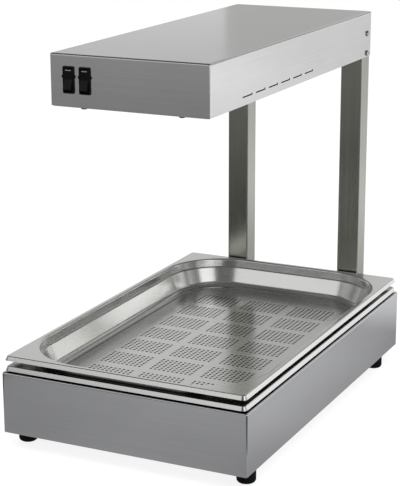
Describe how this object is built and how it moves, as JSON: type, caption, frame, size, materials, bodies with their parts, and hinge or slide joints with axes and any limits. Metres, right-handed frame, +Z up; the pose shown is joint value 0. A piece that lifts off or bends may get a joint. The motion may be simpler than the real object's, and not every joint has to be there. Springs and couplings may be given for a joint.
{
  "type": "heat lamp gantry",
  "caption": "Counter-top heat lamp gantry: a heated steel base holds nested food pans, the upper one perforated, under a slim lamp hood on rear posts.",
  "frame": {"origin": "on the counter, under the middle of the whole unit's box", "axes": "+X to the right seen from the front, +Y to the rear posts, +Z up"},
  "size_m": [0.336, 0.5704, 0.5],
  "materials": {
    "casing_steel": "satin brushed stainless",
    "pan_steel": "bright pressed stainless",
    "plate_steel": "mill finish sheet",
    "screw_steel": "turned stainless",
    "foot_rubber": "matt black",
    "black_plastic": "fine moulded black",
    "rocker_plastic": "smooth black",
    "reflector_aluminium": "bright rolled",
    "wire_chrome": "plated wire",
    "element_sheath": "heat-dulled sheath",
    "quartz": "clear quartz",
    "filament_metal": "coiled wire",
    "ceramic": "unglazed ceramic",
    "lead_sleeve": "glass-fibre sleeve",
    "brass": "plain"
  },
  "bodies": {
    "base": {"base_casing": "casing_steel", "base_element": "element_sheath", "base_plate": "plate_steel", "base_plate_screws": "screw_steel", "base_terminal_block": "ceramic", "cable_gland": "black_plastic", "earth_lead": "lead_sleeve", "earth_stud": "brass", "element_leads": "lead_sleeve", "element_saddles": "element_sheath", "foot_front_left": "foot_rubber", "foot_front_right": "foot_rubber", "foot_nuts": "screw_steel", "foot_rear_left": "foot_rubber", "foot_rear_right": "foot_rubber", "foot_screws": "screw_steel", "gland_locknut": "black_plastic", "heat_shield": "plate_steel", "hood_cover": "casing_steel", "hood_side_screws": "screw_steel", "hood_terminal_block": "ceramic", "lamp_caps": "ceramic", "lamp_filaments": "filament_metal", "lamp_guard": "wire_chrome", "lamp_holder_front": "ceramic", "lamp_holder_rear": "ceramic", "lamp_reflector": "reflector_aluminium", "lamp_wiring": "lead_sleeve", "post_backing_plate": "plate_steel", "post_bolts": "screw_steel", "post_left": "casing_steel", "post_nuts": "screw_steel", "post_plug_left": "black_plastic", "post_plug_right": "black_plastic", "post_right": "casing_steel", "post_wiring": "lead_sleeve", "quartz_tube_left": "quartz", "quartz_tube_right": "quartz", "reflector_screws": "screw_steel", "switch_blades": "brass", "switch_housing_left": "black_plastic", "switch_housing_right": "black_plastic", "switch_wiring": "lead_sleeve", "thermal_cutout": "element_sheath", "underside_panel": "plate_steel", "underside_screws": "screw_steel"},
    "lower_pan": {"lower_pan": "pan_steel"},
    "perforated_pan": {"perforated_pan_wall": "pan_steel", "perforated_pan_floor": "pan_steel"},
    "rocker_left": {"rocker_left": "rocker_plastic"},
    "rocker_right": {"rocker_right": "rocker_plastic"}
  },
  "joints": [
    {"name": "lower_pan_lift", "type": "slide", "parent": "base", "child": "lower_pan", "axis": [0, 0, 1], "range_m": [0, 0.1]},
    {"name": "perforated_pan_lift", "type": "slide", "parent": "lower_pan", "child": "perforated_pan", "axis": [0, 0, 1], "range_m": [0, 0.12]},
    {"name": "rocker_left_tip", "type": "hinge", "parent": "base", "child": "rocker_left", "pos_m": [-0.0795, -0.2502, 0.4692], "axis": [1, 0, 0], "range_deg": [0, 20]},
    {"name": "rocker_right_tip", "type": "hinge", "parent": "base", "child": "rocker_right", "pos_m": [-0.0575, -0.2502, 0.4692], "axis": [1, 0, 0], "range_deg": [0, 20]}
  ]
}
